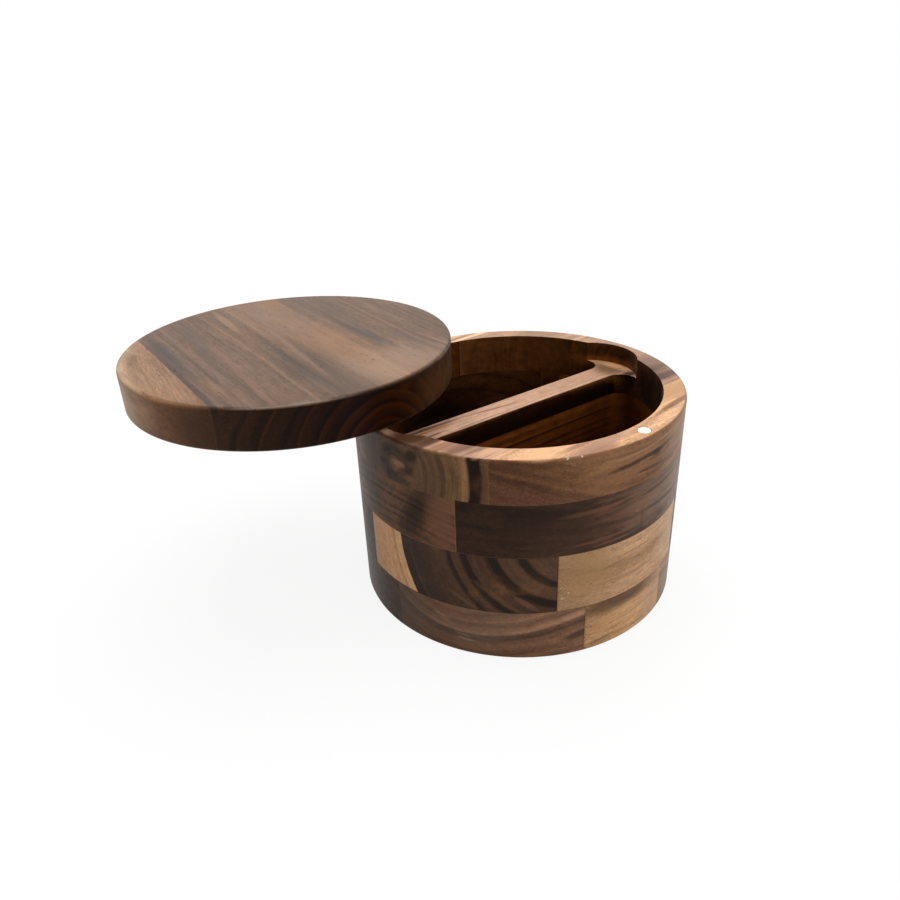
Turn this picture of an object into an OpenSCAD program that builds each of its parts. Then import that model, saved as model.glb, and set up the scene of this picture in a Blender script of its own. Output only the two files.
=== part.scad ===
// Round wooden spice box with two compartments and a lid that swivels on a pin.
// The body is glued up from four layers of boards, then turned and routed. The divider and
// the glue joints run along X, and those of the top layer lie a little askew to it. The origin
// is the centre of the base, and Z is up.

/* [Body] */
// Outside diameter of the body and of the lid
body_d = 110; // [100:1:125]
// Wood left round the compartments
wall = 7.2; // [6.8:0.1:8.5]
// Wood left under the compartments
floor_t = 9; // [6:0.5:12]
// Radius of the body's outer edges
body_edge_r = 1; // [0.4:0.1:2]

/* [Layers] */
// Thickness of the bottom layer of boards
base_h = 17.9; // [15:0.1:22]
// Thickness of the third layer
lower_h = 20.1; // [16:0.1:24]
// Thickness of the second layer
upper_h = 18; // [14:0.1:22]
// Thickness of the top layer
top_h = 14.4; // [14:0.1:20]

/* [Boards] */
// Width of the front board of the top layer, from the outside in
top_front_w = 20.5; // [17:0.1:27]
// Width of the back board of the top layer, which holds the pin
top_back_w = 9; // [8:0.1:14]
// Angle of the top layer's joints to the divider
top_turn = 1.9; // [0:0.1:3]
// Width of the front board of the second layer
upper_front_w = 27.4; // [22:0.1:32]
// Width of the back board of the second layer
upper_back_w = 26.4; // [22:0.1:32]
// Width of the front board of the third layer, inside the thickness of the wall
lower_front_w = 6.5; // [4:0.1:6.5]
// Distance of the third layer's back joint behind the divider
lower_back_step = 4.1; // [3.2:0.1:9]
// Width of the front board of the bottom layer, inside the thickness of the wall
base_front_w = 2.8; // [2:0.1:4]
// Distance of the bottom layer's back joint in front of the divider
base_back_step = 0.7; // [0.7:0.1:9]

/* [Divider] */
// Thickness of the divider
divider_w = 9; // [6:0.1:10]
// Depth of the divider's top below the rim
divider_drop = 7; // [4:0.1:10]
// Radius of the upright corners where the divider meets the wall
divider_corner_r = 6; // [4:0.1:6]
// Diameter of the cutter that lowered the divider's top
slot_d = 32; // [31:0.5:36]
// Wood left in the rim outside the slot's round ends
slot_rim = 3.1; // [2:0.1:4.5]

/* [Lid] */
// Thickness of the lid
lid_t = 14; // [12:0.1:18]
// Radius of the lid's edges
lid_edge_r = 1.2; // [0.4:0.1:2.5]
// Air under the lid
lid_gap = 0.3; // [0.2:0.05:0.6]
// Width of the lid's narrow board, which holds the magnet
lid_edge_w = 14.7; // [11:0.1:20]
// How far the lid is swung open
lid_swing = 97; // [0:0.5:180]

/* [Pin and magnets] */
// Angle between the line from magnet to pin and the line square to the divider
pin_turn = 4.8; // [0:0.1:8]
// Diameter of the pivot pin
pin_d = 4; // [3:0.1:5]
// Length of the pin pressed into the body
pin_seat = 12; // [8:0.5:13]
// Length of the pin inside the lid
pin_reach = 9; // [6:0.5:10]
// Gap round the pin in the lid
pin_play = 0.06; // [0.03:0.01:0.1]
// Gap above the pin in the lid
pin_end_play = 0.2; // [0.1:0.05:0.5]
// Diameter of each magnet
magnet_d = 4; // [3:0.1:5]
// Thickness of each magnet
magnet_t = 3; // [2:0.1:5]
// Glue round each magnet
magnet_glue = 0.05; // [0.02:0.01:0.1]
// Radius of the edges of the pin and the magnets
metal_edge_r = 0.3; // [0.1:0.05:0.5]

/* [Hidden] */
$fn = 240;

// Cuts run this far past the faces that they open
PAST = 2;
// The corner rounds of the compartments run this far into the faces that they join
LAP = 0.02;

body_r = body_d / 2;
bore_r = body_r - wall;
ring_r = body_r - wall / 2;
lower_z = base_h;
upper_z = lower_z + lower_h;
top_z = upper_z + upper_h;
rim_z = top_z + top_h;
divider_top_z = rim_z - divider_drop;
lid_z = rim_z + lid_gap;
side_y = body_r + PAST;
divider_y = divider_w / 2;
lower_back_y = divider_y + lower_back_step;
base_back_y = -divider_y - base_back_step;
slot_r = slot_d / 2;
slot_end_x = body_r - slot_rim - slot_r;
pin_at = [-ring_r * sin(pin_turn), ring_r * cos(pin_turn)];

// Middle of a corner round: it touches the divider's face and the round wall
corner_y = divider_y + divider_corner_r;
corner_x = sqrt(pow(bore_r - divider_corner_r, 2) - pow(corner_y, 2));

// A turned disc with rounded edges, standing on z = 0
module turned(r, h, edge) {
    rotate_extrude() {
        square([r - edge, h]);
        translate([0, edge])
            square([r, h - 2 * edge]);
        for (z = [edge, h - edge])
            translate([r - edge, z])
                circle(r = edge);
    }
}

// The wood that fills the corner between divider and wall, outside the corner round
module corner_fill() {
    out = (bore_r + PAST) / (bore_r - divider_corner_r);
    difference() {
        linear_extrude(height = rim_z + PAST)
            polygon([
                [corner_x, corner_y],
                [corner_x, divider_y - PAST],
                [bore_r + PAST, divider_y - PAST],
                [corner_x * out, corner_y * out]]);
        translate([corner_x, corner_y, -PAST])
            cylinder(r = divider_corner_r + LAP, h = rim_z + 3 * PAST);
    }
}

// Both compartments: a round bore, less the divider and its four corners
module compartments() {
    difference() {
        translate([0, 0, floor_t])
            cylinder(r = bore_r, h = rim_z);
        translate([-bore_r - PAST, -divider_y, 0])
            cube([2 * (bore_r + PAST), divider_w, rim_z + floor_t + PAST]);
        for (side = [0, 1], end = [0, 1])
            mirror([0, side, 0])
                mirror([end, 0, 0])
                    corner_fill();
    }
}

// The slot that lowered the divider's top and bit into the wall at both ends
module slot() {
    translate([0, 0, divider_top_z]) {
        for (end = [-1, 1])
            translate([end * slot_end_x, 0, 0])
                cylinder(r = slot_r, h = divider_drop + PAST);
        translate([-slot_end_x, -corner_y, 0])
            cube([2 * slot_end_x, 2 * corner_y, divider_drop + PAST]);
    }
}

// The hole for the pin, and straight across from it the one for the magnet
module rim_holes() {
    rotate([0, 0, pin_turn]) {
        translate([0, ring_r, rim_z - pin_seat])
            cylinder(d = pin_d, h = pin_seat + PAST);
        translate([0, -ring_r, rim_z - magnet_t])
            cylinder(d = magnet_d + 2 * magnet_glue, h = magnet_t + PAST);
    }
}

// The whole body, turned and routed
module body() {
    difference() {
        turned(body_r, rim_z, body_edge_r);
        compartments();
        slot();
        rim_holes();
    }
}

// One strip of the body, between two heights and two glue joints
module strip(low_z, high_z, low_y, high_y, turn = 0) {
    intersection() {
        body();
        rotate([0, 0, turn])
            translate([-side_y, low_y, low_z])
                cube([2 * side_y, high_y - low_y, high_z - low_z]);
    }
}

// One strip of the top layer, which lies askew
module top_strip(low_y, high_y) {
    strip(top_z, rim_z + PAST, low_y, high_y, top_turn);
}

// A disc of metal with rounded edges, standing on z = 0
module metal_rod(d, h) {
    turned(d / 2, h, metal_edge_r);
}

// Puts what is drawn with the pin on +Y, as on the shut lid, where the open lid is
module on_lid() {
    translate([pin_at[0], pin_at[1], lid_z])
        rotate([0, 0, pin_turn - lid_swing])
            translate([0, -ring_r, 0])
                children();
}

// The lid before it is parted into its boards
module lid_disc() {
    difference() {
        turned(body_r, lid_t, lid_edge_r);
        translate([0, ring_r, -PAST])
            cylinder(d = pin_d + 2 * pin_play, h = pin_reach + pin_end_play + PAST);
        translate([0, -ring_r, -PAST])
            cylinder(d = magnet_d + 2 * magnet_glue, h = magnet_t + PAST);
    }
}

// One board of the lid, between two distances from its middle
module lid_board(low_y, high_y) {
    on_lid()
        intersection() {
            lid_disc();
            translate([-side_y, low_y, -PAST])
                cube([2 * side_y, high_y - low_y, lid_t + 2 * PAST]);
        }
}

module top_front_strip() {
    color("#b98a62") top_strip(-side_y, top_front_w - body_r);
}

module top_middle_strip() {
    color("#7d5a41") top_strip(top_front_w - body_r, body_r - top_back_w);
}

module top_back_strip() {
    color("#d0a176") top_strip(body_r - top_back_w, side_y);
}

module upper_front_strip() {
    color("#3b2419") strip(upper_z, top_z, -side_y, upper_front_w - body_r);
}

module upper_middle_strip() {
    color("#6d4630") strip(upper_z, top_z, upper_front_w - body_r, body_r - upper_back_w);
}

module upper_back_strip() {
    color("#4d3324") strip(upper_z, top_z, body_r - upper_back_w, side_y);
}

module lower_front_strip() {
    color("#b28453") strip(lower_z, upper_z, -side_y, lower_front_w - body_r);
}

module lower_middle_strip() {
    color("#35221a") strip(lower_z, upper_z, lower_front_w - body_r, lower_back_y);
}

module lower_back_strip() {
    color("#4a342a") strip(lower_z, upper_z, lower_back_y, side_y);
}

module base_front_strip() {
    color("#ab8158") strip(-PAST, lower_z, -side_y, base_front_w - body_r);
}

module base_middle_strip() {
    color("#6a4a34") strip(-PAST, lower_z, base_front_w - body_r, base_back_y);
}

module base_back_strip() {
    color("#5f4a3e") strip(-PAST, lower_z, base_back_y, side_y);
}

module lid_wide_board() {
    color("#857063") lid_board(lid_edge_w - body_r, side_y);
}

module lid_edge_board() {
    color("#a98a72") lid_board(-side_y, lid_edge_w - body_r);
}

module pivot_pin() {
    color("silver")
        translate([pin_at[0], pin_at[1], rim_z - pin_seat])
            metal_rod(pin_d, pin_seat + lid_gap + pin_reach);
}

module rim_magnet() {
    color("gainsboro")
        translate([-pin_at[0], -pin_at[1], rim_z - magnet_t])
            metal_rod(magnet_d, magnet_t);
}

module lid_magnet() {
    color("gainsboro")
        on_lid()
            translate([0, -ring_r, 0])
                metal_rod(magnet_d, magnet_t);
}

top_front_strip();
top_middle_strip();
top_back_strip();
upper_front_strip();
upper_middle_strip();
upper_back_strip();
lower_front_strip();
lower_middle_strip();
lower_back_strip();
base_front_strip();
base_middle_strip();
base_back_strip();
lid_wide_board();
lid_edge_board();
pivot_pin();
rim_magnet();
lid_magnet();
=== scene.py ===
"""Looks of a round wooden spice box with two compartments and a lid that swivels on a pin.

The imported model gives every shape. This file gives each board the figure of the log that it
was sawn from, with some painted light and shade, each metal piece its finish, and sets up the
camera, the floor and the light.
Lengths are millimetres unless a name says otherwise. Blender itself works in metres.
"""

import logging
import math
from dataclasses import dataclass, field
from typing import Any

import bpy
import numpy as np
from bpy.types import Material, Node, NodeSocket, NodeTree, Object
from mathutils import Matrix, Vector

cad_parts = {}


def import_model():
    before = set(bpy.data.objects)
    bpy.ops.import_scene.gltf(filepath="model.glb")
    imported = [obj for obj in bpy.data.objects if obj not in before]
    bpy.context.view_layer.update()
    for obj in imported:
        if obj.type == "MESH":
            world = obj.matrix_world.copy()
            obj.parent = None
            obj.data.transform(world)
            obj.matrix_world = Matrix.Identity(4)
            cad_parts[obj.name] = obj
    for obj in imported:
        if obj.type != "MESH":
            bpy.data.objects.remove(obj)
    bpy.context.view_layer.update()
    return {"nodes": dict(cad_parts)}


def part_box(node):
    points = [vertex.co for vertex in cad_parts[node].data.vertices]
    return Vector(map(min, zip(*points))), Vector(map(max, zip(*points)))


log = logging.getLogger("spice_box")

MM = 0.001

# Three lengths or angles, and the lowest and the highest corner of a box.
Triple = tuple[float, float, float]
Box = tuple[np.ndarray, np.ndarray]


def linear(hex_colour: str) -> tuple[float, float, float, float]:
    """Turns an sRGB hex colour into Blender's linear one.

    Args:
        hex_colour: a colour such as "#b98a62".

    Returns:
        Linear red, green, blue and an alpha of 1.
    """
    srgb = np.array([int(hex_colour[i:i + 2], 16) for i in (1, 3, 5)]) / 255.0
    low = srgb / 12.92
    high = ((srgb + 0.055) / 1.055) ** 2.4
    red, green, blue = np.where(srgb <= 0.04045, low, high)
    return float(red), float(green), float(blue), 1.0


def add_node(tree: NodeTree, kind: str, *values: Any,
             named: dict[str, Any] | None = None, **settings: Any) -> Node:
    """Adds one shader node with its settings and its links.

    Args:
        tree: the material's or the world's node tree.
        kind: the node's type without "ShaderNode".
        *values: what goes into its inputs in use, in order: a number, a colour, another node,
            one of a node's outputs, or None to leave that input alone.
        named: the same for inputs given by name.
        **settings: the node's own properties, such as operation="ADD".

    Returns:
        The new node. A node given as a value is linked by its first output in use.
    """
    node = tree.nodes.new("ShaderNode" + kind)
    for name, setting in settings.items():
        setattr(node, name, setting)
    sockets = [socket for socket in node.inputs if socket.enabled]
    given = list(zip(sockets, values))
    given += [(node.inputs[name], value) for name, value in (named or {}).items()]
    for socket, value in given:
        if isinstance(value, Node):
            value = next(output for output in value.outputs if output.enabled)
        if isinstance(value, NodeSocket):
            tree.links.new(value, socket)
        elif value is not None:
            socket.default_value = value
    return node


def new_material(name: str) -> Material:
    """Makes an empty node material."""
    material = bpy.data.materials.new(name)
    material.use_nodes = True
    material.node_tree.nodes.clear()
    return material


def new_object(name: str, data: bpy.types.ID) -> Object:
    """Puts a mesh, lamp or camera into the scene as an object.

    Args:
        name: the object's name.
        data: its mesh, lamp or camera.

    Returns:
        The object.
    """
    made = bpy.data.objects.new(name, data)
    bpy.context.scene.collection.objects.link(made)
    return made


@dataclass(frozen=True)
class Clumps:
    """How the wood's tone wanders, in clumps of one size, along, across and up the grain.

    depth is how far it wanders, and detail and roughness how much fine noise is in it.
    """

    size: Triple
    depth: float = 0.0
    detail: float = 3.0
    roughness: float = 0.6

    def pattern(self, tree: NodeTree, grain: Node, seed: float) -> Node:
        """Makes the clumps: noise on the grain's coordinates, stretched to their size."""
        point = add_node(tree, "VectorMath", grain, tuple(1 / side for side in self.size),
                         operation="MULTIPLY")
        return add_node(tree, "TexNoise", point, seed, 1.0, self.detail, self.roughness,
                        noise_dimensions="4D")

    def tone(self, tree: NodeTree, colour: Node, pattern: Node) -> Node:
        """Darkens and lightens a colour by the clumps, by twice the depth at the most."""
        share = add_node(tree, "MapRange", pattern, 0.0, 1.0, 1 - 2 * self.depth,
                         1 + 2 * self.depth)
        return add_node(tree, "VectorMath", colour, share, operation="SCALE")


@dataclass(frozen=True)
class Patch:
    """A soft cloud, streak, knot or painted light or shade: an ellipsoid in the boards' frame.

    at is its middle and reach its half lengths, along, across and up. turn tilts it, in
    degrees about those three. soft is the width of its edge and ragged how far noise pushes
    that edge about, both as a share of its reach.
    """

    at: Triple
    reach: Triple
    colour: str
    strength: float = 0.6
    turn: Triple = (0, 0, 0)
    soft: float = 0.5
    ragged: float = 0.5

    def lay(self, tree: NodeTree, colour: Node, board: Node, noise: Node) -> Node:
        """Lays the patch over a colour.

        Args:
            tree: the material's node tree.
            colour: the wood's colour so far.
            board: coordinates in the boards' frame.
            noise: noise from 0 to 1 that makes the edge ragged.

        Returns:
            The node whose output is the new colour.
        """
        local = add_node(tree, "Mapping", board, self.at,
                         tuple(math.radians(angle) for angle in self.turn), self.reach,
                         vector_type="TEXTURE")
        away = add_node(tree, "VectorMath", local, operation="LENGTH")
        edge = add_node(tree, "Math", noise, 2 * self.ragged, away, operation="MULTIPLY_ADD")
        middle = 1 + self.ragged
        cover = add_node(tree, "MapRange", edge, middle - self.soft, middle + self.soft,
                         self.strength, 0.0, interpolation_type="SMOOTHSTEP")
        return add_node(tree, "Mix", cover, colour, linear(self.colour), data_type="RGBA")


@dataclass(frozen=True)
class Face:
    """A level face to lay patches on: its height, and how far they reach above and below."""

    height: float
    depth: float

    def patch(self, x: float, y: float, long: float, wide: float, colour: str,
              strength: float = 0.6, turn: float = 0.0, **shape: float) -> Patch:
        """Makes a patch on the face.

        Args:
            x: its middle along the boards.
            y: its middle across them.
            long: its half length.
            wide: its half width.
            colour: its sRGB hex colour.
            strength: how far it covers the wood, up to 1.
            turn: how far it is turned about up, in degrees.
            **shape: soft and ragged, as in Patch.

        Returns:
            The patch.
        """
        return Patch((x, y, self.height), (long, wide, self.depth), colour, strength,
                     (0, 0, turn), **shape)


@dataclass(frozen=True)
class Wall:
    """The turned outside of a disc, whose boards are turned by some degrees."""

    turn: float = 0.0
    radius: float = 55.0
    depth: float = 4.0

    def patch(self, azimuth: float, height: float, wide: float, tall: float, colour: str,
              strength: float = 0.6, rise: float = 0.0, **shape: float) -> Patch:
        """Makes a patch on the wall.

        Args:
            azimuth: where it is round the disc, in degrees.
            height: its middle above the base.
            wide: its length round the disc.
            tall: its height.
            colour: its sRGB hex colour.
            strength: how far it covers the wood, up to 1.
            rise: how far its right end is tilted up, in degrees, seen from outside.
            **shape: soft and ragged, as in Patch.

        Returns:
            The patch, which reaches in by the depth.
        """
        azimuth -= self.turn
        around = math.radians(azimuth)
        at = (self.radius * math.cos(around), self.radius * math.sin(around), height)
        return Patch(at, (wide / 2, self.depth, tall / 2), colour, strength,
                     (0, -rise, azimuth + 90), **shape)


@dataclass(frozen=True)
class Sawn:
    """How a board was sawn from its log.

    pith is where the log's pith line crosses the middle of the box, across and up. swing and
    pitch tilt that line, in degrees about the up and the across directions, as in a board
    whose grain runs out. waver is how far the rings stray from true circles, and bends how
    long and wide the bends are in which they do.
    """

    pith: tuple[float, float]
    swing: float = 0.0
    pitch: float = 0.0
    waver: float = 2.0
    bends: Clumps = Clumps((70, 16, 16), detail=2.0)

    def grain(self, tree: NodeTree, board: Node, seed: float) -> Node:
        """Gives coordinates along, across and up the log, with the pith line as the axis.

        Args:
            tree: the material's node tree.
            board: coordinates in the boards' frame.
            seed: picks the noise that pushes the rings about.

        Returns:
            The node whose output is the coordinates.
        """
        turned = add_node(tree, "Mapping", board, (0, *self.pith),
                          (0, math.radians(self.pitch), math.radians(self.swing)),
                          vector_type="TEXTURE")
        noise = self.bends.pattern(tree, turned, seed)
        centred = add_node(tree, "VectorMath", noise.outputs["Color"], (0.5, 0.5, 0.5),
                           operation="SUBTRACT")
        push = (0, 2 * self.waver, 2 * self.waver)
        return add_node(tree, "VectorMath", centred, push, turned, operation="MULTIPLY_ADD")


@dataclass(frozen=True)
class BoardFrame:
    """Where a body's boards stand: x along the grain, y across the boards, z up.

    centre is the body's axis in the row frame and turn its angle about it. Upright faces
    nearer to the axis than routed_r, and all faces there below routed_z, were left by the
    cutter, and get painted shade. Those further out were turned, and get partly painted shade.
    A face counts as upright up to where its normal's upward part is edge, and as the paler top,
    partly painted light, from where it is flat. end_fade is how fast end grain gives way to
    long grain round the disc.
    """

    centre: tuple[float, float] = (0.0, 0.0)
    turn: float = 0.0
    routed_r: float = 0.0
    routed_z: float = 0.0
    edge: float = 0.78
    flat: float = 0.97
    end_fade: float = 1.4

    def coordinates(self, tree: NodeTree, source: Node) -> Node:
        """Gives Object coordinates in the boards' frame, in millimetres."""
        return add_node(tree, "Mapping", source.outputs["Object"],
                        (self.centre[0] * MM, self.centre[1] * MM, 0),
                        (0, 0, math.radians(self.turn)), (MM, MM, MM), vector_type="TEXTURE")

    def box(self, pieces: list[Object]) -> Box:
        """Finds the lowest and the highest corner of some pieces in the boards' frame.

        Args:
            pieces: objects whose places are in their meshes.

        Returns:
            Both corners, in millimetres.
        """
        points = []
        for piece in pieces:
            flat = np.empty(3 * len(piece.data.vertices), np.float32)
            piece.data.vertices.foreach_get("co", flat)
            points.append(flat.reshape(-1, 3) / MM - (*self.centre, 0))
        turn = math.radians(self.turn)
        rows = ((math.cos(turn), -math.sin(turn), 0), (math.sin(turn), math.cos(turn), 0),
                (0, 0, 1))
        turned = np.concatenate(points) @ np.array(rows)
        return turned.min(axis=0), turned.max(axis=0)

    def end_grain(self, tree: NodeTree, source: Node) -> Node:
        """How far a face shows end grain: the size of its normal's part along the grain."""
        turn = math.radians(self.turn)
        along = add_node(tree, "VectorMath", source.outputs["Normal"],
                         (math.cos(turn), math.sin(turn), 0), operation="DOT_PRODUCT")
        size = add_node(tree, "Math", along, operation="ABSOLUTE")
        return add_node(tree, "Math", size, self.end_fade, operation="POWER")

    def level(self, tree: NodeTree, source: Node) -> Node:
        """1 on faces that look up, 0 on upright ones."""
        facing = add_node(tree, "SeparateXYZ", source.outputs["Normal"])
        return add_node(tree, "MapRange", facing.outputs["Z"], self.edge, self.flat)

    def routed(self, tree: NodeTree, board: Node, level: Node) -> Node:
        """1 on the walls and floors of the compartments, which get painted shade, 0 on turned
        faces and tops.
        """
        flat = add_node(tree, "VectorMath", board, (1, 1, 0), operation="MULTIPLY")
        away = add_node(tree, "VectorMath", flat, operation="LENGTH")
        inside = add_node(tree, "Math", away, self.routed_r, operation="LESS_THAN")
        height = add_node(tree, "SeparateXYZ", board)
        low = add_node(tree, "Math", height.outputs["Z"], self.routed_z, operation="LESS_THAN")
        upright = add_node(tree, "Math", level, 0.5, operation="LESS_THAN")
        either = add_node(tree, "Math", low, upright, operation="MAXIMUM")
        return add_node(tree, "Math", inside, either, operation="MULTIPLY")


@dataclass(frozen=True)
class Acacia:
    """Turned acacia, given a fine sanding and oiled: satin, with deep colour and fine open pores.

    rings is the colour at each distance from the pith. Faces that look up go over to a paler
    colour, partly from the finer sanding they had last and partly as painted light where the
    top lamp falls. Oil sinks into cut fibre ends, so end grain is darker by end_shade. Turned
    sides are darker, partly from deeper oil and partly as painted shade. The compartments'
    walls and floors get painted shade, in blotches where the cutter left them rough and the
    oil sank in unevenly. Growth lines are line_gap apart and stay alike for line_reach along
    the log and round it. Pores are 0.15 mm wide, and drawn at 0.3 mm to show. They are
    pore_bottom deep. Bundles of fibres are about 0.3 mm wide and stand up by fibre_rise of that.
    """

    seed: float
    sawn: Sawn
    rings: tuple[tuple[float, str], ...]
    patches: tuple[Patch, ...] = ()
    line_gap: float = 1.5
    line_reach: tuple[float, float] = (120.0, 22.0)
    line_depth: float = 0.22
    clouds: Clumps = Clumps((38, 11, 11))
    tatters: Clumps = Clumps((15, 4, 4), detail=4.0)
    streaks: Clumps = Clumps((55, 1.9, 1.9), 0.15, 4.0)
    fibres: Clumps = Clumps((7, 0.32, 0.32), 0.22, 2.0)
    mottle: Clumps = Clumps((1.8, 1.2, 1.2), 0.17, 4.0)
    pore_depth: float = 0.5
    pore_share: float = 0.4
    pore_cell: Triple = (9, 0.8, 0.8)
    warm: str = "#a87448"
    warm_share: float = 0.25
    smoke: str = "#3a2d26"
    smoke_share: float = 0.25
    # The paler top: partly the finer sanding, partly painted light where the top lamp falls.
    sanded_and_lit_top: str = "#c49e82"
    sanded_and_lit_top_share: float = 0.0
    end_shade: str = "#a59e98"
    # Turned sides: partly deeper oil, partly painted shade.
    side_oil_and_painted_shade: str = "#fffaf0"
    # Painted shade on the compartments' walls and floors.
    routed_painted_shade: str = "#ffe4a8"
    blotches: Clumps = Clumps((5.0, 2.4, 3.2), 0.42, 5.0)
    seam: str = "#2a1c14"
    seam_share: float = 0.5
    pore_bottom: float = 0.05
    fibre_rise: float = 0.35
    ior: float = 1.47
    roughness: tuple[float, float] = (0.45, 0.35)
    gloss: float = 0.07
    sheen: float = 0.02

    def build(self, name: str, place: BoardFrame, joints: Box) -> Material:
        """Makes the board's material, which reads Object coordinates and normals only.

        Args:
            name: the material's name.
            place: the frame of the body that the board belongs to.
            joints: the board's box, with every face that isn't glued moved well away.

        Returns:
            The material.
        """
        material = new_material(name)
        tree = material.node_tree
        source = add_node(tree, "TexCoord")
        board = place.coordinates(tree, source)
        grain = self.sawn.grain(tree, board, self.seed)
        across = add_node(tree, "VectorMath", grain, (0, 1, 1), operation="MULTIPLY")
        radius = add_node(tree, "VectorMath", across, operation="LENGTH")
        level = place.level(tree, source)

        colour = self._rings(tree, radius)
        # Faces that look up go paler: partly the finer sanding, partly painted light.
        pale = add_node(tree, "Math", level, self.sanded_and_lit_top_share, operation="MULTIPLY")
        colour = add_node(tree, "Mix", pale, colour, linear(self.sanded_and_lit_top), data_type="RGBA")
        clouds = self.clouds.pattern(tree, grain, self.seed + 0.1)
        colour = self._clouds(tree, colour, clouds)
        colour = self._growth_lines(tree, colour, clouds, radius, grain)
        layers = []
        for number, clumps in enumerate((self.streaks, self.fibres, self.mottle)):
            layers.append(clumps.pattern(tree, grain, self.seed + 0.2 + number / 7))
            colour = clumps.tone(tree, colour, layers[-1])
        tatters = self.tatters.pattern(tree, grain, self.seed + 0.7)
        for patch in self.patches:
            colour = patch.lay(tree, colour, board, tatters)
        pores = self._pores(tree, grain)
        dark = add_node(tree, "MapRange", pores, 0.0, 1.0, 1 - self.pore_depth, 1.0)
        colour = add_node(tree, "VectorMath", colour, dark, operation="SCALE")
        colour = self._shades(tree, colour, place, source, board, level)
        colour = self._seams(tree, colour, board, joints)

        streaks, fibres, _ = layers
        rough = add_node(tree, "MapRange", streaks, 0.3, 0.7, *self.roughness)
        height = add_node(tree, "Math", fibres, self.fibre_rise, pores, operation="MULTIPLY_ADD")
        bump = add_node(tree, "Bump", named={
            "Strength": 0.25, "Distance": self.pore_bottom * MM, "Height": height})
        shader = add_node(tree, "BsdfPrincipled", named={
            "Base Color": colour, "Roughness": rough, "IOR": self.ior,
            "Specular IOR Level": self.gloss, "Sheen Weight": self.sheen,
            "Sheen Roughness": 0.4, "Sheen Tint": linear("#f4eadf"), "Normal": bump})
        add_node(tree, "OutputMaterial", shader)
        return material

    def _rings(self, tree: NodeTree, radius: Node) -> Node:
        """Looks the colour up along the ring chart, by distance from the pith."""
        reach = self.rings[-1][0]
        share = add_node(tree, "Math", radius, reach, operation="DIVIDE")
        chart = add_node(tree, "ValToRGB", share)
        stops = chart.color_ramp.elements
        while len(stops) < len(self.rings):
            stops.new(0.5)
        for stop, (at, colour) in zip(stops, self.rings):
            stop.position = at / reach
            stop.color = linear(colour)
        return chart

    def _clouds(self, tree: NodeTree, colour: Node, clouds: Node) -> Node:
        """Goes over to the warm colour where the clouds are dense and to smoke where thin."""
        for low, high, tint, most in ((0.52, 0.72, self.warm, self.warm_share),
                                      (0.48, 0.28, self.smoke, self.smoke_share)):
            share = add_node(tree, "MapRange", clouds, low, high, 0.0, most,
                             interpolation_type="SMOOTHSTEP")
            colour = add_node(tree, "Mix", share, colour, linear(tint), data_type="RGBA")
        return colour

    def _growth_lines(self, tree: NodeTree, colour: Node, clouds: Node, radius: Node,
                      grain: Node) -> Node:
        """Draws uneven lines that follow the rings: noise along the radius, long on the log."""
        step = add_node(tree, "Math", radius, 1 / self.line_gap, operation="MULTIPLY")
        outwards = add_node(tree, "CombineXYZ", step)
        along, about = self.line_reach
        point = add_node(tree, "VectorMath", grain, (1 / along, 1 / about, 1 / about),
                         outwards, operation="MULTIPLY_ADD")
        noise = add_node(tree, "TexNoise", point, self.seed + 0.6, 1.0, 3.0, 0.65,
                         noise_dimensions="4D")
        lines = add_node(tree, "MapRange", noise, 0.36, 0.6, interpolation_type="SMOOTHSTEP")
        dark = add_node(tree, "MapRange", clouds, 0.62, 0.38, 1 - 0.4 * self.line_depth,
                        1 - self.line_depth, interpolation_type="SMOOTHSTEP")
        share = add_node(tree, "MapRange", lines, 0.0, 1.0, dark, 1 + 0.3 * self.line_depth)
        return add_node(tree, "VectorMath", colour, share, operation="SCALE")

    def _pores(self, tree: NodeTree, grain: Node) -> Node:
        """Makes thin open pores in some of the cells: 0 inside a pore, 1 between them."""
        point = add_node(tree, "VectorMath", grain, tuple(1 / side for side in self.pore_cell),
                         operation="MULTIPLY")
        cells = add_node(tree, "TexVoronoi", point, 1.0)
        chosen = add_node(tree, "SeparateColor", cells.outputs["Color"])
        closed = add_node(tree, "Math", chosen, self.pore_share, operation="GREATER_THAN")
        core, lip = 0.08, 0.26
        away = add_node(tree, "MapRange", cells, core, lip, interpolation_type="SMOOTHSTEP")
        return add_node(tree, "Math", away, closed, operation="MAXIMUM")

    def _shades(self, tree: NodeTree, colour: Node, place: BoardFrame,
                source: Node, board: Node, level: Node) -> Node:
        """Darkens end grain; paints shade, blotchy, in the compartments and partly on turned
        sides.
        """
        routed = place.routed(tree, board, level)
        upright = add_node(tree, "Math", 1.0, level, operation="SUBTRACT")
        turned = add_node(tree, "Math", upright, routed, operation="SUBTRACT", use_clamp=True)
        blotchy = self.blotches.tone(tree, colour, self.blotches.pattern(tree, board, self.seed))
        colour = add_node(tree, "Mix", routed, colour, blotchy, data_type="RGBA")
        # The turned sides' shade is partly painted shade, and the compartments' is painted shade.
        for share, shade in ((place.end_grain(tree, source), self.end_shade),
                             (turned, self.side_oil_and_painted_shade), (routed, self.routed_painted_shade)):
            colour = add_node(tree, "Mix", share, colour, linear(shade), data_type="RGBA",
                              blend_type="MULTIPLY")
        return colour

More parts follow.
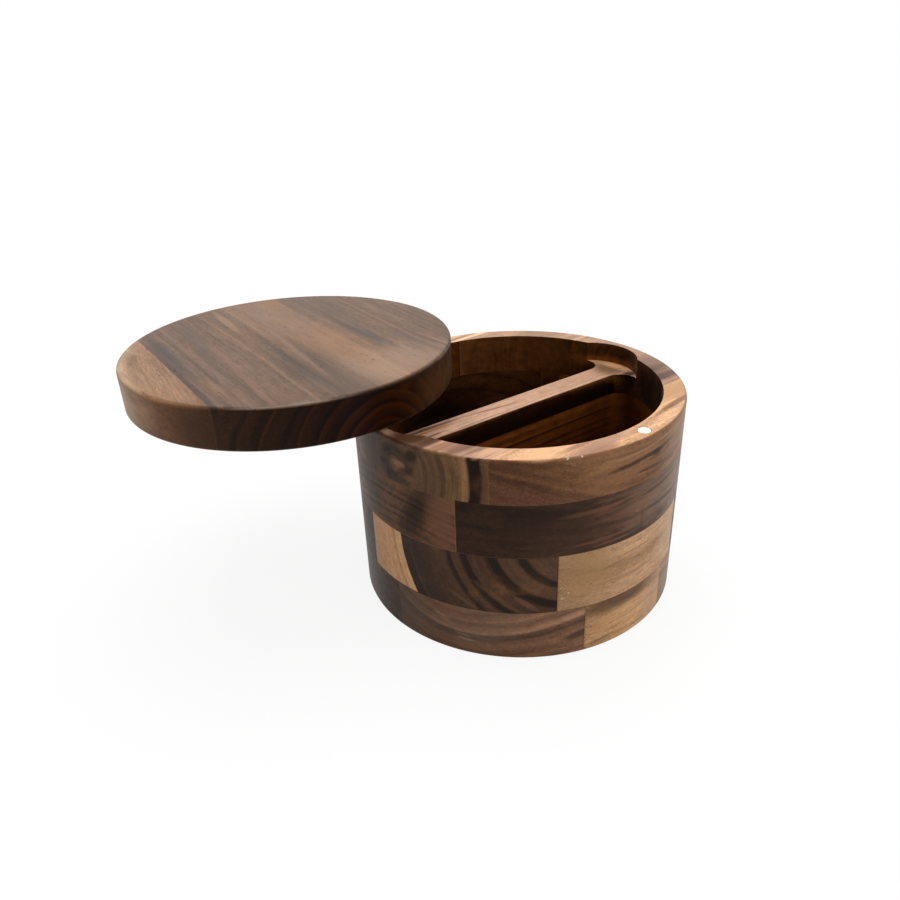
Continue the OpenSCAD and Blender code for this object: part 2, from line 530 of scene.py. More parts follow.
    def _seams(self, tree: NodeTree, colour: Node, board: Node, joints: Box) -> Node:
        """Draws half the glue line, about 0.15 mm wide, along each glued face of the board."""
        dark, gone = 0.1, 0.22
        low, high = joints
        away = add_node(tree, "VectorMath", board, tuple((low + high) / 2), operation="SUBTRACT")
        size = add_node(tree, "VectorMath", away, operation="ABSOLUTE")
        inside = add_node(tree, "VectorMath", tuple((high - low) / 2), size, operation="SUBTRACT")
        depth = add_node(tree, "SeparateXYZ", inside)
        nearest = add_node(tree, "Math", depth.outputs["Y"], depth.outputs["Z"],
                           operation="MINIMUM")
        share = add_node(tree, "MapRange", nearest, dark, gone, self.seam_share, 0.0)
        return add_node(tree, "Mix", share, colour, linear(self.seam), data_type="RGBA")


@dataclass(frozen=True)
class GroundSteel:
    """Ground steel dowel: bright grey metal with fine turning marks round it."""

    name: str = "ground_steel"
    colour: str = "#b4b3b0"
    dull: str = "#8f8e8b"
    mark_gap: float = 0.25
    mark_height: float = 0.02
    roughness: tuple[float, float] = (0.22, 0.38)

    def build(self) -> Material:
        """Makes the metal, with marks that run round the pin."""
        material = new_material(self.name)
        tree = material.node_tree
        source = add_node(tree, "TexCoord")
        point = add_node(tree, "VectorMath", source.outputs["Object"],
                         (20, 20, 1 / (self.mark_gap * MM)), operation="MULTIPLY")
        marks = add_node(tree, "TexNoise", point, 1.0)
        rough = add_node(tree, "MapRange", marks, 0.3, 0.7, *self.roughness)
        tone = add_node(tree, "Mix", marks, linear(self.colour), linear(self.dull),
                        data_type="RGBA")
        bump = add_node(tree, "Bump", named={
            "Strength": 0.2, "Distance": self.mark_height * MM, "Height": marks})
        shader = add_node(tree, "BsdfPrincipled", named={
            "Base Color": tone, "Metallic": 1.0, "Roughness": rough, "Normal": bump})
        add_node(tree, "OutputMaterial", shader)
        return material


@dataclass(frozen=True)
class NickelPlate:
    """Nickel-plated magnet: bright, slightly warm, with tiny scuffs and dull spots."""

    name: str = "nickel_plate"
    colour: str = "#fdfaec"
    dull: str = "#d8d3c6"
    scuff: float = 0.6
    roughness: tuple[float, float] = (0.4, 0.6)

    def build(self) -> Material:
        """Makes the plating, with scuffs as spots of duller metal."""
        material = new_material(self.name)
        tree = material.node_tree
        source = add_node(tree, "TexCoord")
        spots = add_node(tree, "TexNoise", source.outputs["Object"], 1 / (self.scuff * MM), 4.0)
        rough = add_node(tree, "MapRange", spots, 0.35, 0.65, *self.roughness)
        tone = add_node(tree, "Mix", spots, linear(self.colour), linear(self.dull),
                        data_type="RGBA")
        shader = add_node(tree, "BsdfPrincipled", named={
            "Base Color": tone, "Metallic": 1.0, "Roughness": rough})
        add_node(tree, "OutputMaterial", shader)
        return material


@dataclass
class WoodenBody:
    """What the turned body and the lid share: boards of one disc, glued side by side.

    A face within outer of the disc's own box isn't glued, so its joint is put clear of it.
    """

    place: BoardFrame = BoardFrame()
    boards: dict[str, Acacia] = field(default_factory=dict)
    outer: float = 1.0
    clear: float = 10.0

    def dress_boards(self, nodes: dict[str, Object]) -> None:
        """Gives each board its wood, with glue lines where it meets another board.

        Args:
            nodes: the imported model's objects by name.
        """
        low_all, high_all = self.place.box([nodes[name] for name in self.boards])
        for name, wood in self.boards.items():
            low, high = self.place.box([nodes[name]])
            glued = (np.where(low - low_all < self.outer, low - self.clear, low),
                     np.where(high_all - high < self.outer, high + self.clear, high))
            finish = "acacia_" + name.rsplit("_", 1)[0]
            wear(nodes[name], wood.build(finish, self.place, glued))


@dataclass
class TopLayer(WoodenBody):
    """Top layer of the body, whose boards lie a little askew.

    rim_z is the height of the rim and slot_z that of the divider's top.
    """

    place: BoardFrame = BoardFrame(turn=1.9, routed_r=53.0)
    rim_z: float = 70.4
    slot_z: float = 63.4

    def __post_init__(self) -> None:
        """Gives the three boards of the layer their wood."""
        rim, slot = Face(self.rim_z, 1.0).patch, Face(self.slot_z, 2.0).patch
        wall = Wall(self.place.turn).patch
        self.boards["top_front_strip"] = Acacia(
            11, Sawn((-20, 18.6), waver=1.5),
            ((0, "#82593f"), (47, "#775240"), (49.4, "#5c3e2f"), (50.4, "#82593f"),
             (52, "#6e4c37"), (53.4, "#7d573e"), (56, "#7f5b42"), (58, "#8b654a"),
             (66, "#8b654a")),
            (rim(34, -39.5, 12, 5, "#ba8e66", 0.75),
             rim(25, -45.5, 13, 1.1, "#7d513a", 0.85, 8),
             rim(-19, -50.9, 8, 2.6, "#8a614b", 0.75),
             rim(5, -49.5, 9, 1.2, "#a67c60", 0.5, 8),
             rim(-14, -48.5, 13, 2.2, "#a98370"),
             rim(-18, -45.2, 10, 1, "#8d6753", 0.7),
             rim(-29, -42, 8, 3.5, "#ecb98c", 0.8),
             wall(258, 62, 26, 11, "#9a7254", 0.45, 10, soft=0.9, ragged=1.4),
             wall(252, 64.5, 14, 2.6, "#b08a5c", 0.4, 14, soft=0.8, ragged=1.4),
             wall(229, 62.5, 16, 0.8, "#5d4231", 0.5, -28, ragged=0.9),
             wall(237, 60.5, 16, 0.8, "#5d4231", 0.5, -22, ragged=0.9),
             wall(275, 67.2, 28, 0.8, "#b18b6d", 0.5, 4, ragged=0.6),
             wall(284, 58.6, 18, 0.9, "#42301f", 0.5, 8, ragged=0.6),
             wall(273, 64.2, 30, 1.7, "#3b281d", 0.85, 4, soft=0.4, ragged=1.3),
             wall(277, 64, 5, 2.4, "#33251e", 0.8),
             wall(281, 59.3, 22, 1.1, "#3f2c22", 0.75, -3, soft=0.4, ragged=1.3),
             wall(268, 67.5, 24, 1, "#6a4c3a", 0.5, ragged=0.8),
             # Painted reflection: the grey haze of a grazing reflection at the right end.
             wall(301, 61, 36, 18, "#a8917d", 0.55, soft=0.9, ragged=1.2),
             wall(229, 68.5, 20, 3, "#5b4130", 0.5),
             Patch((-26, -48.2, 70), (0.5, 0.25, 0.4), "#ecd9c4", 0.8, ragged=1.2),
             Patch((-22.2, -50, 70.1), (0.3, 0.2, 0.3), "#ecd9c4", 0.8, ragged=1.2)),
            line_gap=1.3, mottle=Clumps((0.9, 0.7, 0.7), 0.32, 4),
            warm="#a67b52", sanded_and_lit_top="#e4b288", sanded_and_lit_top_share=0.94, seam="#8a664c", seam_share=0.15)
        self.boards["top_middle_strip"] = Acacia(
            12, Sawn((-6, 62.2), waver=1.6),
            ((0, "#cc9f85"), (1.6, "#b08a72"), (3.2, "#735b4b"), (5.6, "#5b483b"), (8, "#7e634e"),
             (11, "#886a54"), (12, "#5f4a3b"), (13, "#8a6b53"), (14.4, "#6a5342"),
             (15.4, "#866850"), (17.2, "#6f5542"), (18.4, "#8f6f52"), (23.8, "#b08a66"),
             (24.6, "#2f2118"), (27.2, "#2c1e15"), (27.9, "#6f523c"), (31, "#86664e"),
             (38, "#94735a"), (48, "#a07d62"), (62, "#ab876b")),
            (rim(50, 0, 6, 13, "#a0826e", 0.8, soft=0.7),
             rim(46, -20, 12, 8, "#836859", 0.85, soft=0.7),
             rim(42, -29.5, 10, 2.2, "#745c4e", 0.8),
             rim(40, 32, 9, 7, "#957a63", 0.8, soft=0.7),
             rim(-50, -8, 8, 7, "#3d200e", 0.97),
             rim(-47, -15, 9, 1.8, "#4a2a17", 0.92),
             rim(-46, -19.5, 8, 2, "#8a5f45", 0.75),
             rim(-42, -24, 9, 2.2, "#775440", 0.85),
             rim(-40, -28, 9, 1.1, "#7f5f50", 0.8),
             rim(-36, -31, 9, 1.4, "#e2b088", 0.7),
             slot(-33, 3.9, 11, 0.7, "#4f3324", 0.8, -1.9),
             slot(-35, 2.2, 9, 0.8, "#a86c42", 0.8, -1.9),
             slot(-39, -0.8, 7, 0.6, "#5a3a28", 0.7),
             slot(-10, 1.5, 11, 0.45, "#7d5a48", 0.8, -10),
             slot(45, -1, 4.6, 7, "#553315", 0.85, soft=0.8, ragged=0.4),
             # Painted shade: a near-black band where the divider's front face lies in shade.
             Patch((0, -4.6, 58.8), (60, 0.8, 5), "#160803", 0.95, (0, 0, -1.9), soft=0.3,
                   ragged=0.2),
             slot(31, -1, 12, 4, "#a07c62", 0.4, -1.9, soft=0.9),
             Patch((42, 22, 62.5), (11, 8, 8), "#a07e62", 0.95, soft=0.4),
             # Painted shade: the back wall darker towards the left, where the lid shades it.
             Patch((12, 44, 62), (14, 8, 9), "#5f4230", 0.5, soft=0.9),
             # Painted shade: the front compartment's right wall, which lies in shade.
             Patch((40, -28, 62), (14, 14, 9), "#1c0f07", 0.85),
             slot(50.8, 2, 2.6, 9, "#e6ad76", 0.8, soft=0.8, ragged=0.7),
             slot(46, 12, 3.4, 5, "#e6ad76", 0.75, 38, soft=0.8),
             slot(47.2, -9.6, 2.6, 1.7, "#3a2718", 0.9, ragged=0.2),
             # Painted reflection: the grey haze of a grazing reflection at the left edge.
             wall(175, 63, 14, 10, "#645d59", 0.7, soft=0.8, ragged=0.9),
             wall(187, 62.5, 8, 6, "#3a322b", 0.45, 30, soft=0.9, ragged=1.6),
             wall(200, 62, 10, 14, "#8e6f5a", 0.35, soft=0.9, ragged=1),
             wall(195, 66.8, 4.5, 3.6, "#33291f", 0.85, ragged=0.9),
             wall(184.5, 66.2, 4, 3.2, "#3a3029", 0.8, 30, ragged=0.9),
             wall(182.5, 61.5, 3.6, 2.2, "#3d332c", 0.75, ragged=0.9),
             wall(187, 58.6, 4, 2, "#3d332c", 0.7, -20, ragged=0.9),
             wall(194.5, 61.8, 3.2, 1.8, "#3f332a", 0.7, 40, ragged=0.9),
             wall(194, 59, 4, 2, "#a07a62"),
             wall(189.8, 62.8, 4.6, 2.2, "#cf9f84", 0.7, ragged=0.9)),
            line_gap=1.2, line_depth=0.36, sanded_and_lit_top="#cda286", sanded_and_lit_top_share=0.85,
            end_shade="#aba49d", routed_painted_shade="#c8a06c", seam="#a0785c", seam_share=0.1)
        self.boards["top_back_strip"] = Acacia(
            13, Sawn((20, 40)), ((0, "#a47a56"), (40, "#ab8058"), (60, "#b58a60")),
            (rim(33, 42, 12, 5.5, "#8b7460", 0.9, soft=0.3),
             rim(4, 49, 20, 1.6, "#b08a68", 0.7, soft=0.7),
             rim(0, 48, 30, 0.8, "#8f694c", 0.7, 3)),
            sanded_and_lit_top="#f4caa0", sanded_and_lit_top_share=0.92, routed_painted_shade="#85683e")


@dataclass
class LowerLayers(WoodenBody):
    """The three layers of the body below the top one."""

    place: BoardFrame = BoardFrame(routed_r=53.0, routed_z=20.0)

    def __post_init__(self) -> None:
        """Gives the nine boards of the layers their wood."""
        wall = Wall().patch
        self.boards["upper_front_strip"] = Acacia(
            14, Sawn((-35, -20), waver=3),
            ((0, "#463226"), (60, "#463226"), (66, "#4b3529"), (68.5, "#3a2a20"), (72, "#4e382c"),
             (75, "#36271e"), (78, "#503b30")),
            (wall(233, 51.5, 18, 7, "#291c17", 0.7),
             wall(245, 42.5, 30, 2, "#4d382c", 0.6, 3),
             wall(268, 48.5, 28, 10, "#7c5645", 0.6, 4, soft=0.9, ragged=1.5),
             wall(256, 51.8, 20, 1.3, "#745443", 0.6, 3, ragged=1.3),
             wall(262, 49.6, 18, 1.4, "#33241d", 0.55, 8, ragged=1.6),
             wall(266, 52.6, 12, 0.8, "#7b5a48", 0.5, 2, ragged=1.3),
             wall(264, 45.5, 20, 1.6, "#33241d", 0.5, -4, ragged=1.6),
             wall(256, 41.2, 26, 1.2, "#704f3e", 0.6, 3, ragged=1.3),
             wall(262, 39.6, 16, 0.8, "#7b5947", 0.6, 2, ragged=1.3),
             wall(238, 47, 22, 9, "#48342a", 0.5, soft=0.9, ragged=0.9),
             wall(266, 54.2, 22, 1.2, "#6f5446", 0.5, ragged=0.9),
             # Painted reflections: the grey haze of grazing reflections towards the right end.
             wall(280, 48.5, 30, 17, "#7d6454", soft=0.9, ragged=1.2),
             wall(301, 47, 36, 24, "#98816f", 0.7, soft=0.9, ragged=1.2),
             wall(284, 45.2, 22, 1.3, "#3b2d26", 0.7, -2, ragged=0.8),
             wall(280, 51.6, 18, 1.1, "#44342b", 0.7, 2, ragged=0.8),
             wall(269.6, 46.6, 1.6, 1.2, "#8d6654"),
             wall(272.2, 43, 1.2, 8, "#2e241f", 0.25, ragged=0.6)),
            line_gap=2.2, streaks=Clumps((26, 1.2, 1.2), 0.24, 4), smoke="#241a15",
            smoke_share=0.4, warm="#6f4c3b", mottle=Clumps((3, 1.8, 1.8), 0.2, 4),
            seam="#8a6a58", seam_share=0.2)
        self.boards["upper_middle_strip"] = Acacia(
            15, Sawn((-5, -30), waver=1.2),
            ((0, "#8c6549"), (66, "#8d6950"), (70, "#86624a"), (71, "#63493a"), (71.8, "#8a654d"),
             (73.2, "#86624b"), (73.9, "#46332a"), (74.8, "#8f6a51"), (75.8, "#8a654c"),
             (76.4, "#52392c"), (77.2, "#8c6750"), (79.8, "#8a654d"), (80.5, "#3f2e25"),
             (81.4, "#8d6951"), (83.2, "#6f5241"), (84, "#8d6951"), (90, "#906c55")),
            (wall(195.4, 48.2, 23, 8, "#2e221b", 0.8, 64, soft=0.8, ragged=0.9),
             wall(205, 47, 9, 20, "#9a705c", 0.75, soft=0.6),
             wall(182.5, 51, 12, 0.7, "#a07c64", 0.5, 52, soft=0.8, ragged=0.5),
             wall(185.5, 50, 14, 0.9, "#9c7860", 0.4, 55, soft=0.8, ragged=0.5),
             wall(190, 48, 14, 0.6, "#9c7860", 0.35, 58, soft=0.8, ragged=0.5),
             wall(201, 43.5, 9, 0.7, "#a07a60", 0.35, 50, soft=0.8, ragged=1),
             # Painted reflection: the grey haze of a grazing reflection at the left edge.
             wall(171, 49, 11, 20, "#5f534b", soft=0.9),
             Patch((43.3, 20.2, 54), (2.2, 2.2, 2.6), "#e8c690", 0.9, ragged=0.8),
             # Painted reflection in the corner where the divider meets the wall, and painted light
             # on the wall round it.
             Patch((44.2, -5.8, 49), (2.4, 3.4, 11), "#f6cf9e", soft=0.9),
             Patch((44, -12, 48), (8, 12, 12), "#a87c58", 0.5, soft=0.9)),
            line_gap=1.1, line_depth=0.38, routed_painted_shade="#d2a25a", seam="#a37c62", seam_share=0.25)
        self.boards["upper_back_strip"] = Acacia(
            16, Sawn((60, 10), waver=3),
            ((0, "#6f4e3b"), (28, "#7d5945"), (34, "#7a5743"), (35, "#573f31"), (36.2, "#7a5743"),
             (41, "#805b46"), (42, "#5c4334"), (43.4, "#7b5844"), (47.5, "#745340"),
             (48.5, "#553d30"), (49.8, "#745441"), (60, "#664a39")),
            # Painted shadow: a near-black patch on the back wall under the lid.
            (Patch((0, 46, 44), (24, 8, 13), "#0e0603", 0.95, soft=0.9),),
            routed_painted_shade="#d8b888", side_oil_and_painted_shade="#d9d0c6")
        self.boards["lower_front_strip"] = Acacia(
            17, Sawn((-30, -10), waver=2.5),
            ((0, "#b98f66"), (30, "#c49a74"), (42, "#b78e69"), (46, "#aa825d"), (50, "#c09771"),
             (60, "#c39a75")),
            (wall(251, 30, 20, 16, "#b58c5e", 0.5),
             wall(262, 30.5, 16, 0.8, "#86654a", 0.5, 6, ragged=0.9),
             wall(272, 33, 18, 0.7, "#86654a", 0.5, 2, ragged=0.9),
             wall(278, 29, 18, 0.7, "#8d6b50", 0.45, -2, ragged=0.9),
             wall(283, 34.5, 14, 0.6, "#8d6b50", 0.45, 2, ragged=0.9),
             wall(268, 24.5, 26, 1.1, "#94704f", 0.5, -1, ragged=0.9),
             wall(252, 34.5, 14, 7, "#a8835f", 0.5, soft=0.9, ragged=1),
             wall(243.6, 22.5, 1, 0.6, "#e6cda4", 0.7, ragged=1.3),
             wall(245.4, 24.3, 0.7, 0.5, "#e6cda4", 0.7, ragged=1.3),
             wall(243, 26.5, 0.6, 0.4, "#e6cda4", 0.7, ragged=1.3),
             # Painted reflection: the grey haze of a grazing reflection at the right end.
             wall(300, 30, 26, 22, "#d2b594", 0.55, soft=0.9, ragged=1)),
            line_gap=1.8, line_depth=0.12, mottle=Clumps((0.9, 0.7, 0.7), 0.26, 4),
            side_oil_and_painted_shade="#ffffff", seam="#6a4c36", seam_share=0.3)
        self.boards["lower_middle_strip"] = Acacia(
            18, Sawn((-62, 43), waver=0.5),
            ((0, "#5a4132"), (19, "#5e4434"), (19.6, "#2e211a"), (20.8, "#33261d"),
             (21.6, "#5f4535"), (24.6, "#594032"), (25.3, "#281c15"), (26.8, "#2a1e17"),
             (28.4, "#543c2e"), (31.6, "#523a2d"), (32.2, "#2b1f18"), (33.6, "#2d2119"),
             (34.8, "#5a4132"), (36.2, "#543c2e"), (36.8, "#2e221a"), (37.6, "#35271e"),
             (38.4, "#543e30"), (44, "#4a3629"), (49.4, "#372a22"), (50.2, "#45352b"),
             (51, "#31251e"), (54, "#2c2019"), (54.4, "#dfb68a"), (57.2, "#d6ac83"),
             (57.7, "#ab8360"), (58.4, "#d2a47b"), (66, "#cea07a"), (70, "#c09470")),
            (wall(222, 24, 14, 2, "#765641", 0.4, -38, ragged=0.9),
             wall(212, 21, 10, 1.2, "#735441", 0.5, -30, ragged=0.9),
             wall(232, 21.5, 8, 1.4, "#7d5c49", 0.5, -35, ragged=0.9)),
            line_gap=1, line_depth=0.16, smoke_share=0.08, end_shade="#e4dcd2",
            side_oil_and_painted_shade="#ffffff", seam="#2a1d15")
        self.boards["lower_back_strip"] = Acacia(
            19, Sawn((20, 70), waver=3),
            ((0, "#5f4434"), (38, "#5a4132"), (39, "#3b2b22"), (40.2, "#5a4233"), (45, "#5c4435"),
             (46.2, "#45332a"), (47.5, "#5e4536"), (51.5, "#5a4234"), (52.3, "#3d2c23"),
             (53.6, "#5e4536"), (58, "#6a4f3e"), (59, "#4a372c"), (60, "#644a3a"),
             (70, "#644a3a")), routed_painted_shade="#fae0a8", side_oil_and_painted_shade="#cfc6bc")
        self.boards["base_front_strip"] = Acacia(
            20, Sawn((-30, 60), waver=3), ((0, "#b78c62"), (45, "#b88c62"), (60, "#c69a6e")),
            (wall(266, 16.8, 32, 6.5, "#4f382a", 0.85, 1, soft=0.7, ragged=0.6),
             wall(258, 3, 10, 1, "#7d5c43", 0.6, 8, ragged=0.9),
             wall(262, 5.5, 8, 0.6, "#7d5c43", 0.6, 8, ragged=0.9),
             # Painted reflection: the grey haze of a grazing reflection at the right end.
             wall(282, 8, 8, 14, "#b3937a", 0.5, soft=0.9)),
            side_oil_and_painted_shade="#ffffff", mottle=Clumps((1.2, 0.9, 0.9), 0.2, 4), seam_share=0.2)
        self.boards["base_middle_strip"] = Acacia(
            21, Sawn((-29, 50), waver=1.2),
            ((0, "#a07860"), (33, "#a27b63"), (34.4, "#806350"), (35.6, "#9a745c"),
             (37.4, "#a67b5f"), (38.6, "#80604c"), (40, "#a67b5f"), (41.6, "#b88d6e"),
             (42.6, "#715341"), (44.2, "#664a39"), (45.4, "#966d54"), (48.4, "#8c664e"),
             (49.4, "#7d5a45"), (51, "#946b52"), (56, "#8c654d")),
            (wall(203.4, 13, 5, 0.7, "#c9a588", 0.7, -14, ragged=1.5),
             wall(205.2, 11.6, 4, 0.5, "#c9a588", 0.6, -14, ragged=1.5),
             wall(210, 8.6, 4, 0.5, "#c4a184", 0.6, -8, ragged=1.5),
             wall(211.8, 7.2, 4, 0.5, "#c4a184", 0.6, -8, ragged=1.5),
             wall(213, 5.6, 5, 0.7, "#c9a588", 0.7, -5, ragged=1.5),
             # Painted reflections: the grey haze of grazing reflections at the right end and
             # towards the left edge.
             wall(299, 9, 26, 26, "#967b66", 0.7, soft=0.9, ragged=1.2),
             wall(192, 9, 14, 16, "#8f7c6e", 0.55, soft=0.9),
             wall(214, 9, 22, 13, "#94806f", 0.4, soft=0.9),
             wall(183, 9, 14, 26, "#5f4f43", 0.55, soft=0.9, ragged=1),
             wall(250, 7.8, 9, 2.4, "#3d2c22", 0.7, 14, ragged=0.7)),
            line_gap=1.2, line_depth=0.3, mottle=Clumps((1.3, 1, 0.8), 0.18, 4),
            smoke_share=0.12, side_oil_and_painted_shade="#ffffff", seam_share=0.25)
        self.boards["base_back_strip"] = Acacia(
            22, Sawn((0, 60), waver=3),
            ((0, "#5c4636"), (50, "#614939"), (52.6, "#5e4738"), (53.4, "#44332a"),
             (54.4, "#5f4839"), (58, "#584133"), (59, "#3f2f26"), (60.2, "#5c4536"),
             (66, "#614838"), (67, "#47352b"), (68.2, "#5a4335"), (73, "#654b3b"),
             (74.2, "#49372d"), (75.4, "#5c4537"), (80, "#5f4738")))


@dataclass
class Lid(WoodenBody):
    """The swivel lid: two boards, as they stand swung open.

    swing is the angle of its boards to the body's, and top_z the height of its top.
    """

    swing: float = -92.2
    top_z: float = 84.7

    def __post_init__(self) -> None:
        """Works out where the lid stands from the pin, and gives both boards their wood."""
        low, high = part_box("pivot_pin")
        pin = (low + high) / 2 / MM
        turn = math.radians(self.swing)
        ring_r = pin.xy.length
        centre = (pin.x + ring_r * math.sin(turn), pin.y - ring_r * math.cos(turn))
        # The low edge counts the lid's rounded top edge as top, so it escapes the sides' painted
        # shade and shows as a lighter line: a painted highlight.
        self.place = BoardFrame(centre=centre, turn=self.swing, edge=0.35)
        face, wall = Face(self.top_z, 4.0).patch, Wall().patch
        figure = {"streaks": Clumps((40, 3, 3), 0.12, 4),
                  "fibres": Clumps((6, 0.4, 0.4), 0.28), "pore_cell": (5.5, 0.75, 0.75),
                  "pore_share": 0.45, "pore_depth": 0.6, "seam": "#3f3028"}
        self.boards["lid_wide_board"] = Acacia(
            31, Sawn((5.5, 64.5), waver=1.4),
            ((0, "#7d5a42"), (4.6, "#6a4c38"), (6, "#c89468"), (6.7, "#3a281d"), (8, "#76563f"),
             (9.4, "#b48660"), (9.9, "#402c20"), (12, "#80593d"), (13.6, "#c49268"),
             (14.3, "#2e1e16"), (15.4, "#76563f"), (17.6, "#b08460"), (18.2, "#3c2a20"),
             (21, "#7b5b44"), (22.6, "#9c7656"), (23.3, "#3c2c22"), (24.8, "#735845"),
             (27.6, "#765a46"), (28.1, "#9a765a"), (28.7, "#5a4436"), (30.6, "#735c4e"),
             (31.4, "#4c3a30"), (32.6, "#6f594c"), (36.4, "#745c4c"), (36.9, "#96735a"),
             (37.5, "#584438"), (42, "#705c52"), (42.8, "#4e3f38"), (44, "#6c584d"),
             (58, "#6f5a4d")),
            (face(20, 12, 40, 7, "#a07a5c", 0.55, 3, soft=0.9, ragged=1.1),
             face(42, 18, 13, 20, "#a78b76", 0.5, soft=0.9, ragged=1),
             # Painted sheen: a greyer patch where the light's reflection falls on the rear of the
             # top.
             face(-40, 5, 26, 9, "#8d7462", 0.5, soft=0.8),
             face(-47, 13, 12, 5, "#8f6d52", 0.5),
             face(34, -3, 28, 6, "#473d39", 0.65, 4, soft=0.9, ragged=1.3),
             face(-30, 26, 28, 7, "#615147", soft=0.8),
             face(9, 24, 17, 1.5, "#514842", 0.75, 3),
             face(28, 34, 22, 1.3, "#66554c", 0.6, 6),
             face(34, 40, 15, 0.6, "#94705b", 0.4, 7),
             face(34, 38.4, 15, 0.5, "#5c4a41", 0.7, 7),
             face(-35, -9, 14, 1.2, "#94765f", 0.7, -3),
             face(-14, -37, 27, 2, "#4f4643", 0.8, -1, soft=0.7),
             face(15, -39.4, 42, 0.9, "#4e3f3c", 0.8),
             face(-20, -25, 24, 2.6, "#574b45", 0.55, -3, soft=0.7),
             face(20, -24, 30, 1.2, "#86695a", 0.5, -3),
             face(10, -2, 26, 1, "#8e7362", 0.5, -4),
             wall(30, 77, 26, 9, "#d8b070", 0.5, soft=0.8, ragged=1.2),
             wall(10, 76, 22, 8, "#b98a60", 0.2, soft=0.9, ragged=1.2),
             # Painted highlight: a thin light line along the lid's rounded top edge.
             wall(337, 84.2, 36, 0.7, "#e0d0c2", 0.75, soft=0.6)),
            # The wide board's strong end and side shades are partly end grain and oil, partly
            # painted shade on the lid's side.
            line_depth=0.2, sanded_and_lit_top="#735c4c", sanded_and_lit_top_share=0.72, warm="#8f6a4a",
            smoke="#5a5050", end_shade="#70502f", side_oil_and_painted_shade="#b09c84", **figure)
        self.boards["lid_edge_board"] = Acacia(
            32, Sawn((-70, 60), swing=-4, waver=1.6),
            ((0, "#8a6a52"), (30, "#94735a"), (60, "#87684f")),
            (wall(300, 83.9, 28, 1, "#c48e5e", 0.7, soft=0.4),
             # Painted reflections: the light reflection on the lid's left end.
             wall(268, 77, 40, 14, "#d6b896", 0.75, soft=0.9, ragged=1.3),
             wall(242, 77, 34, 14, "#dabd9c", 0.75, soft=0.9, ragged=1.3),
             wall(311, 77, 24, 18, "#604737", 0.7, soft=0.9)),
            # The strong end and side shades are partly end grain and oil, partly painted shade on
            # the lid's side.
            end_shade="#6e4d30", side_oil_and_painted_shade="#c4b6a8", **figure)


def wear(piece: Object, material: Material) -> None:
    """Dresses a CAD part in one material and reports it.

    Args:
        piece: the part's object.
        material: its finish.
    """
    piece.data.materials.clear()
    piece.data.materials.append(material)
    log.info("%s: %s", piece.name, material.name)


@dataclass(frozen=True)
class Metalwork:
    """The pin that the lid turns on, and the two magnets that hold it shut."""

    pin: GroundSteel = GroundSteel()
    plates: tuple[tuple[str, NickelPlate], ...] = (
        ("rim_magnet", NickelPlate("nickel_plate_rim")),
        ("lid_magnet", NickelPlate("nickel_plate_lid")))

    def dress(self, nodes: dict[str, Object]) -> None:
        """Puts the finishes on the pin and the magnets.

        Args:
            nodes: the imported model's objects by name.
        """
        wear(nodes["pivot_pin"], self.pin.build())
        for name, plate in self.plates:
            wear(nodes[name], plate.build())


@dataclass(frozen=True)
class SoftBox:
    """A square soft box, in metres and watts, that faces the middle of the spice box."""

    name: str
    place: Triple
    size: float
    watts: float
    aim: Triple = (0.0, 0.0, 0.04)

    def hang(self) -> Object:
        """Makes the lamp.

        Returns:
            The lamp object.
        """
        data = bpy.data.lights.new(self.name, "AREA")
        data.shape = "SQUARE"
        data.size = self.size
        data.energy = self.watts
        lamp = new_object(self.name, data)
        lamp.location = self.place
        way = Vector(self.aim) - Vector(self.place)
        lamp.rotation_euler = way.to_track_quat("-Z", "Y").to_euler()
        return lamp


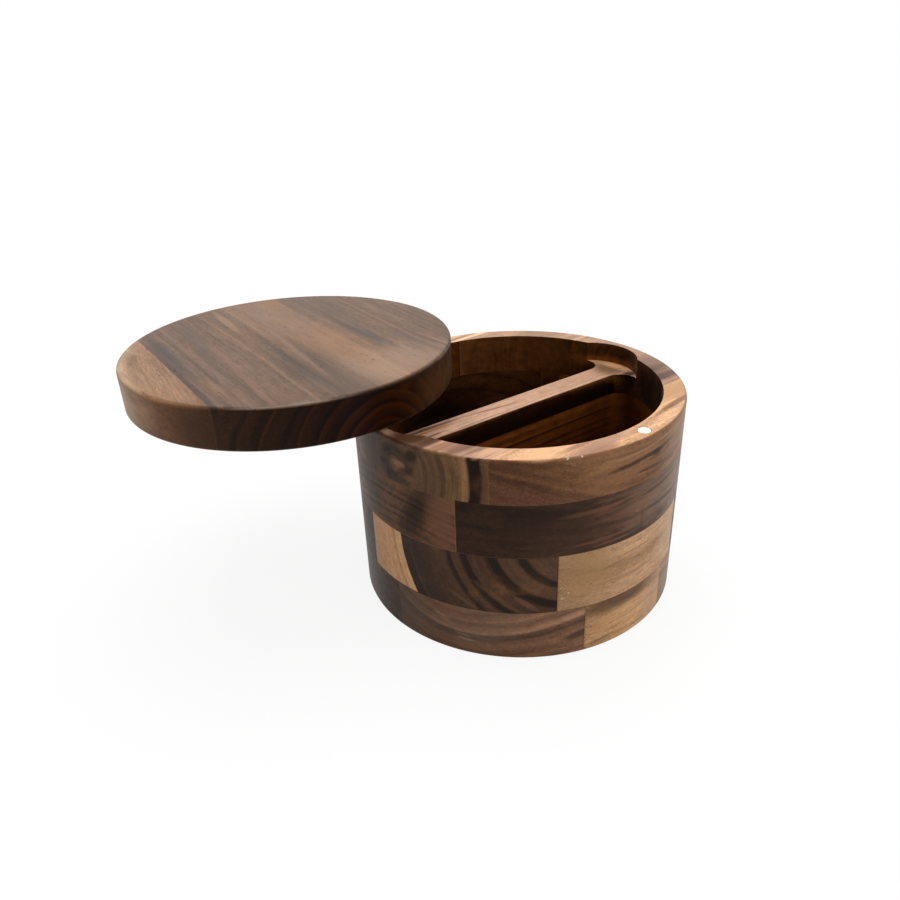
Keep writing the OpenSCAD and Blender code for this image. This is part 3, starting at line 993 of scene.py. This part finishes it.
@dataclass(frozen=True)
class Studio:
    """White tent: camera at the photograph's angle, soft lamps, white floor and world.

    The camera circles the middle of the base at azimuth and elevation, and is then turned a
    little aside, because the box stands off the middle of the picture. focal is in pixels of
    a picture that is picture wide. tent_light is the world's light, and paper the floor's
    grey, where something other than the camera or a reflection looks. The shadow is laid over
    the white floor by shadow_depth, at full up to shadow_near from the middle and gone from
    shadow_reach. The floor and those two are in metres.
    """

    azimuth: float = -131.3
    elevation: float = 35.235
    distance: float = 294.46
    yaw: float = 4.935
    pitch: float = 7.786
    roll: float = -0.881
    focal: float = 772.03
    picture: int = 900
    sensor: float = 36.0
    floor_size: float = 6.0
    paper: float = 0.8
    tent_light: float = 0.22
    shadow_depth: float = 0.11
    shadow_near: float = 0.12
    shadow_reach: float = 0.28
    lamps: tuple[SoftBox, ...] = (
        SoftBox("top_soft_box", (0.15, 0.25, 1.0), 0.9, 9.5),
        SoftBox("front_soft_box", (0.05, -1.0, 0.62), 0.8, 3.9),
        SoftBox("left_soft_box", (-1.1, 0.5, 0.4), 0.6, 3.7),
        SoftBox("right_soft_box", (1.05, -0.45, 0.45), 0.6, 3.6))

    def camera(self) -> Object:
        """Makes the camera: orbit, then yaw about up, pitch about right, roll about forward.

        Returns:
            The camera object.
        """
        around, rise = math.radians(self.azimuth), math.radians(self.elevation)
        place = self.distance * MM * Vector((math.cos(around) * math.cos(rise),
                                             math.sin(around) * math.cos(rise), math.sin(rise)))
        forward = -place.normalized()
        right = forward.cross(Vector((0, 0, 1))).normalized()
        up = right.cross(forward)
        turn = Matrix.Rotation(math.radians(self.yaw), 3, up)
        forward, right = turn @ forward, turn @ right
        turn = Matrix.Rotation(math.radians(self.pitch), 3, right)
        forward, up = turn @ forward, turn @ up
        turn = Matrix.Rotation(math.radians(self.roll), 3, forward)
        right, up = turn @ right, turn @ up
        data = bpy.data.cameras.new("camera")
        data.sensor_width = self.sensor
        data.lens = self.focal / self.picture * data.sensor_width
        data.clip_start = 0.01
        camera = new_object("camera", data)
        basis = Matrix((right, up, -forward)).transposed().to_4x4()
        camera.matrix_world = Matrix.Translation(place) @ basis
        bpy.context.scene.camera = camera
        return camera

    def floor(self) -> Object:
        """Makes the white floor just under the base, which shows a faint shadow near it.

        Returns:
            The floor object.
        """
        half = self.floor_size / 2
        mesh = bpy.data.meshes.new("floor")
        mesh.from_pydata([(-half, -half, 0), (half, -half, 0), (half, half, 0), (-half, half, 0)],
                         [], [(0, 1, 2, 3)])
        floor = new_object("floor", mesh)
        material = new_material("white_paper")
        tree = material.node_tree
        seen = self._seen(tree)
        shade = add_node(tree, "MapRange", seen, 0.0, 1.0, self.paper, 1.0)
        paper = add_node(tree, "BsdfDiffuse", shade)
        white = add_node(tree, "Emission", (1, 1, 1, 1), 1.0)
        source = add_node(tree, "TexCoord")
        away = add_node(tree, "VectorMath", source.outputs["Object"], operation="LENGTH")
        near = add_node(tree, "MapRange", away, self.shadow_near, self.shadow_reach,
                        1 - self.shadow_depth, 1.0, interpolation_type="SMOOTHSTEP")
        share = add_node(tree, "Math", seen, near, operation="MULTIPLY")
        mix = add_node(tree, "MixShader", share, paper, white)
        add_node(tree, "OutputMaterial", mix)
        mesh.materials.append(material)
        return floor

    def _seen(self, tree: NodeTree) -> Node:
        """1 where the camera, a reflection or glass looks at the backdrop."""
        path = add_node(tree, "LightPath")
        total = add_node(tree, "Math", path.outputs["Is Camera Ray"],
                         path.outputs["Is Glossy Ray"], operation="MAXIMUM")
        return add_node(tree, "Math", total, path.outputs["Is Transmission Ray"],
                        operation="MAXIMUM")

    def world(self) -> None:
        """Makes the world: soft dim light all round, seen as plain white."""
        world = bpy.data.worlds.new("white_tent")
        bpy.context.scene.world = world
        world.use_nodes = True
        tree = world.node_tree
        tree.nodes.clear()
        strength = add_node(tree, "MapRange", self._seen(tree), 0.0, 1.0, self.tent_light, 1.0)
        back = add_node(tree, "Background", (1, 1, 1, 1), strength)
        add_node(tree, "OutputWorld", back)

    def build(self) -> None:
        """Sets up the whole studio."""
        self.camera()
        self.floor()
        self.world()
        for lamp in self.lamps:
            lamp.hang()
        bpy.context.scene.view_settings.view_transform = "Standard"


def main() -> None:
    """Loads the frame, dresses every part and sets up the studio."""
    logging.basicConfig(level=logging.INFO, format="%(message)s")
    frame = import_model()
    nodes = frame["nodes"]
    for wooden in (LowerLayers(), TopLayer(), Lid()):
        wooden.dress_boards(nodes)
    Metalwork().dress(nodes)
    Studio().build()


if __name__ == "__main__":
    main()
